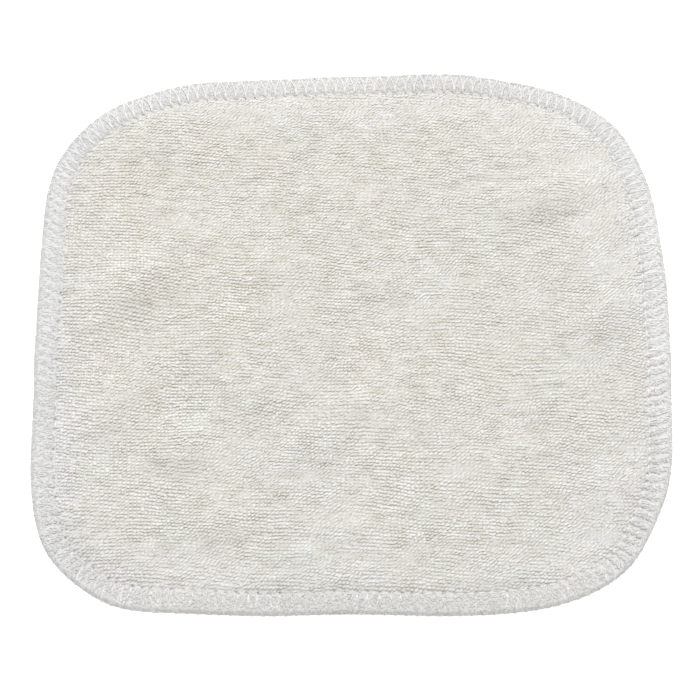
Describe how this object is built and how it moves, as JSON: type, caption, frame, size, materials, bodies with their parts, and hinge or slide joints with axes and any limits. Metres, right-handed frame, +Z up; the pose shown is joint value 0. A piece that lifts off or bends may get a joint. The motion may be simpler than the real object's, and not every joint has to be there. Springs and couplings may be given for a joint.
{
  "type": "baby terry cloth square",
  "caption": "Small off-white looped terry cloth wipe, near-square with broad round corners and an overlocked edge, lying flat.",
  "frame": {"origin": "middle of the cloth's box in plan, on the surface that it lies on", "axes": "+Z up out of the pile, +X along the longer sides to the viewer's right, +Y towards the back edge"},
  "size_m": [0.1696, 0.1562, 0.0041],
  "materials": {
    "terry_pile": "matt off-white looped cotton terry with fine rows of loops",
    "overlock_thread": "fine white spun polyester sewing thread"
  },
  "bodies": {
    "root": {"terry_cloth": "terry_pile"}
  },
  "joints": []
}
